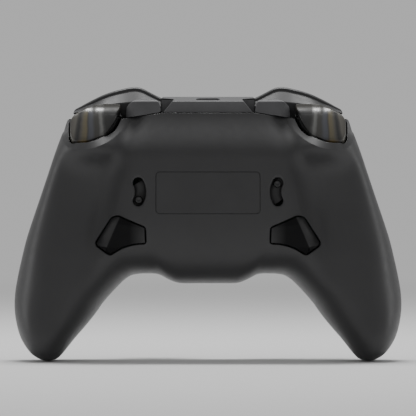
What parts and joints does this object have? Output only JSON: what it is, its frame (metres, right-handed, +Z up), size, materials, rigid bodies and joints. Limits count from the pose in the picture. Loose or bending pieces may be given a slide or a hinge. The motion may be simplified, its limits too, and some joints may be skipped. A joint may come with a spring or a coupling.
{
  "type": "handheld radio controller",
  "caption": "Game-pad style handheld radio controller with twin sticks, clear triggers, bumpers, rear paddles and trigger stop levers.",
  "frame": {"origin": "centre of the bounding box", "axes": "+X to the right seen from the back, +Y from the back to the thumb side, +Z up from the grips to the bumpers"},
  "size_m": [0.1548, 0.0556, 0.1094],
  "materials": {
    "shell": "fine matte grain",
    "faceplate": "matte",
    "label": "matte",
    "trim": "satin",
    "bumper": "satin",
    "tab": "fine matte grain",
    "paddle": "satin",
    "lever": "semi-gloss",
    "button": "semi-gloss",
    "button_soft": "satin",
    "rubber": "matte",
    "silicone": "matte",
    "board": "satin solder mask",
    "battery": "satin film",
    "inner_plastic": "satin",
    "inner_pale": "satin",
    "brass": "satin",
    "steel": "satin",
    "steel_dark": "satin",
    "trigger_clear": "gloss, smoky amber clear plastic"
  },
  "bodies": {
    "case": {"back_shell": "shell", "front_shell": "shell", "faceplate": "faceplate", "top_bridge": "shell", "label_plate": "label", "stick_ring_left": "trim", "stick_ring_right": "trim", "case_screws": "steel_dark", "main_board": "board", "battery_pack": "battery", "usb_c_receptacle": "steel", "headphone_jack": "trim", "button_membrane": "silicone", "dpad_membrane": "silicone", "rumble_motor_left": "steel", "rumble_motor_right": "steel", "switch_blocks": "inner_plastic", "lever_pins": "inner_plastic", "stick_left_frame": "steel_dark", "stick_right_frame": "steel_dark", "trigger_pin_left": "steel", "trigger_pin_right": "steel", "trigger_spring_left": "steel", "trigger_spring_right": "steel"},
    "trigger_left_set": {"trigger_left": "trigger_clear", "trigger_core_left": "inner_plastic", "trigger_strip_left": "brass"},
    "bumper_left_set": {"bumper_left": "bumper"},
    "macro_left_set": {"macro_left": "tab"},
    "paddle_left_set": {"paddle_left": "paddle"},
    "stop_lever_left_set": {"stop_lever_left": "lever"},
    "trigger_right_set": {"trigger_right": "trigger_clear", "trigger_core_right": "inner_plastic", "trigger_strip_right": "brass"},
    "bumper_right_set": {"bumper_right": "bumper"},
    "macro_right_set": {"macro_right": "tab"},
    "paddle_right_set": {"paddle_right": "paddle"},
    "stop_lever_right_set": {"stop_lever_right": "lever"},
    "stick_left_yoke_body": {"stick_left_yoke": "inner_pale"},
    "stick_left_arch_body": {"stick_left_arch": "steel"},
    "stick_left_shaft_body": {"stick_left_shaft": "trim"},
    "stick_left_cap_body": {"stick_left_cap": "rubber"},
    "stick_right_yoke_body": {"stick_right_yoke": "inner_pale"},
    "stick_right_arch_body": {"stick_right_arch": "steel"},
    "stick_right_shaft_body": {"stick_right_shaft": "trim"},
    "stick_right_cap_body": {"stick_right_cap": "rubber"},
    "dpad_pivot_body": {"dpad_pivot": "steel"},
    "dpad_body": {"dpad_cap": "button"},
    "button_north_body": {"button_north": "button"},
    "button_east_body": {"button_east": "button"},
    "button_south_body": {"button_south": "button"},
    "button_west_body": {"button_west": "button"},
    "home_body": {"home_button": "button_soft"},
    "menu_body": {"menu_button": "button_soft"},
    "view_body": {"view_button": "button_soft"},
    "capture_body": {"capture_button": "button_soft"},
    "motor_weight_left_body": {"motor_weight_left": "steel_dark"},
    "motor_weight_right_body": {"motor_weight_right": "steel_dark"}
  },
  "joints": [
    {"name": "trigger_left_pull", "type": "hinge", "parent": "case", "child": "trigger_left_set", "pos_m": [-0.045, -0.0095, 0.0438], "axis": [1, 0, 0], "range_deg": [0, 16], "stiffness_Nm_per_rad": 0.2, "springref_deg": -3.44},
    {"name": "bumper_left_press", "type": "hinge", "parent": "case", "child": "bumper_left_set", "pos_m": [-0.0189, 0.004, 0.045], "axis": [0, -1, 0], "range_deg": [0, 1.8], "stiffness_Nm_per_rad": 0.4, "springref_deg": -1.15},
    {"name": "macro_left_press", "type": "slide", "parent": "case", "child": "macro_left_set", "axis": [0, 1, 0], "range_m": [0, 0.0007], "stiffness_N_per_m": 400, "springref_m": -0.0005},
    {"name": "paddle_left_press", "type": "hinge", "parent": "case", "child": "paddle_left_set", "pos_m": [-0.027, -0.0164, -0.0047], "axis": [0, 0, -1], "range_deg": [0, 4], "stiffness_Nm_per_rad": 0.2, "springref_deg": -1.72},
    {"name": "stop_lever_left_swing", "type": "hinge", "parent": "case", "child": "stop_lever_left_set", "pos_m": [-0.0342, -0.0149, 0.0125], "axis": [0, -1, 0], "range_deg": [0, 50]},
    {"name": "trigger_right_pull", "type": "hinge", "parent": "case", "child": "trigger_right_set", "pos_m": [0.045, -0.0095, 0.0438], "axis": [1, 0, 0], "range_deg": [0, 16], "stiffness_Nm_per_rad": 0.2, "springref_deg": -3.44},
    {"name": "bumper_right_press", "type": "hinge", "parent": "case", "child": "bumper_right_set", "pos_m": [0.0189, 0.004, 0.045], "axis": [0, 1, 0], "range_deg": [0, 1.8], "stiffness_Nm_per_rad": 0.4, "springref_deg": -1.15},
    {"name": "macro_right_press", "type": "slide", "parent": "case", "child": "macro_right_set", "axis": [0, 1, 0], "range_m": [0, 0.0007], "stiffness_N_per_m": 400, "springref_m": -0.0005},
    {"name": "paddle_right_press", "type": "hinge", "parent": "case", "child": "paddle_right_set", "pos_m": [0.027, -0.0164, -0.0047], "axis": [0, 0, 1], "range_deg": [0, 4], "stiffness_Nm_per_rad": 0.2, "springref_deg": -1.72},
    {"name": "stop_lever_right_swing", "type": "hinge", "parent": "case", "child": "stop_lever_right_set", "pos_m": [0.0342, -0.0149, 0.0125], "axis": [0, -1, 0], "range_deg": [0, 50]},
    {"name": "stick_left_tilt_updown", "type": "hinge", "parent": "case", "child": "stick_left_yoke_body", "pos_m": [-0.0205, 0.006, -0.005], "axis": [1, 0, 0], "range_deg": [-17, 17], "stiffness_Nm_per_rad": 0.25},
    {"name": "stick_left_tilt_sideways", "type": "hinge", "parent": "stick_left_yoke_body", "child": "stick_left_shaft_body", "pos_m": [-0.0205, 0.006, -0.005], "axis": [0, 0, 1], "range_deg": [-17, 17], "stiffness_Nm_per_rad": 0.25},
    {"name": "stick_left_arch_follow", "type": "hinge", "parent": "case", "child": "stick_left_arch_body", "pos_m": [-0.0205, 0.006, -0.005], "axis": [0, 0, 1], "range_deg": [-17.2, 17.2]},
    {"name": "stick_left_click", "type": "slide", "parent": "stick_left_shaft_body", "child": "stick_left_cap_body", "axis": [0, -1, 0], "range_m": [0, 0.0005], "stiffness_N_per_m": 900, "springref_m": -0.0003},
    {"name": "stick_right_tilt_updown", "type": "hinge", "parent": "case", "child": "stick_right_yoke_body", "pos_m": [0.039, 0.006, 0.019], "axis": [1, 0, 0], "range_deg": [-17, 17], "stiffness_Nm_per_rad": 0.25},
    {"name": "stick_right_tilt_sideways", "type": "hinge", "parent": "stick_right_yoke_body", "child": "stick_right_shaft_body", "pos_m": [0.039, 0.006, 0.019], "axis": [0, 0, 1], "range_deg": [-17, 17], "stiffness_Nm_per_rad": 0.25},
    {"name": "stick_right_arch_follow", "type": "hinge", "parent": "case", "child": "stick_right_arch_body", "pos_m": [0.039, 0.006, 0.019], "axis": [0, 0, 1], "range_deg": [-17.2, 17.2]},
    {"name": "stick_right_click", "type": "slide", "parent": "stick_right_shaft_body", "child": "stick_right_cap_body", "axis": [0, -1, 0], "range_m": [0, 0.0005], "stiffness_N_per_m": 900, "springref_m": -0.0003},
    {"name": "dpad_rock_updown", "type": "hinge", "parent": "case", "child": "dpad_pivot_body", "pos_m": [0.0205, 0.0086, -0.005], "axis": [1, 0, 0], "range_deg": [-4, 4], "stiffness_Nm_per_rad": 0.15},
    {"name": "dpad_rock_sideways", "type": "hinge", "parent": "dpad_pivot_body", "child": "dpad_body", "pos_m": [0.0205, 0.0086, -0.005], "axis": [0, 0, 1], "range_deg": [-4, 4], "stiffness_Nm_per_rad": 0.15},
    {"name": "button_north_press", "type": "slide", "parent": "case", "child": "button_north_body", "axis": [0, -1, 0], "range_m": [0, 0.0012], "stiffness_N_per_m": 300, "springref_m": -0.0005},
    {"name": "button_east_press", "type": "slide", "parent": "case", "child": "button_east_body", "axis": [0, -1, 0], "range_m": [0, 0.0012], "stiffness_N_per_m": 300, "springref_m": -0.0005},
    {"name": "button_south_press", "type": "slide", "parent": "case", "child": "button_south_body", "axis": [0, -1, 0], "range_m": [0, 0.0012], "stiffness_N_per_m": 300, "springref_m": -0.0005},
    {"name": "button_west_press", "type": "slide", "parent": "case", "child": "button_west_body", "axis": [0, -1, 0], "range_m": [0, 0.0012], "stiffness_N_per_m": 300, "springref_m": -0.0005},
    {"name": "home_press", "type": "slide", "parent": "case", "child": "home_body", "axis": [0, -1, 0], "range_m": [0, 0.0005], "stiffness_N_per_m": 500, "springref_m": -0.0003},
    {"name": "menu_press", "type": "slide", "parent": "case", "child": "menu_body", "axis": [0, -1, 0], "range_m": [0, 0.0005], "stiffness_N_per_m": 500, "springref_m": -0.0003},
    {"name": "view_press", "type": "slide", "parent": "case", "child": "view_body", "axis": [0, -1, 0], "range_m": [0, 0.0005], "stiffness_N_per_m": 500, "springref_m": -0.0003},
    {"name": "capture_press", "type": "slide", "parent": "case", "child": "capture_body", "axis": [0, -1, 0], "range_m": [0, 0.0005], "stiffness_N_per_m": 500, "springref_m": -0.0003},
    {"name": "motor_left_spin", "type": "hinge", "parent": "case", "child": "motor_weight_left_body", "pos_m": [-0.06, 0, -0.024], "axis": [0, 1, 0], "continuous": true},
    {"name": "motor_right_spin", "type": "hinge", "parent": "case", "child": "motor_weight_right_body", "pos_m": [0.06, 0, -0.024], "axis": [0, 1, 0], "continuous": true}
  ],
  "couplings": [
    {"joint": "stick_left_arch_follow", "follows": "stick_left_tilt_sideways", "ratio": 1},
    {"joint": "stick_right_arch_follow", "follows": "stick_right_tilt_sideways", "ratio": 1}
  ]
}
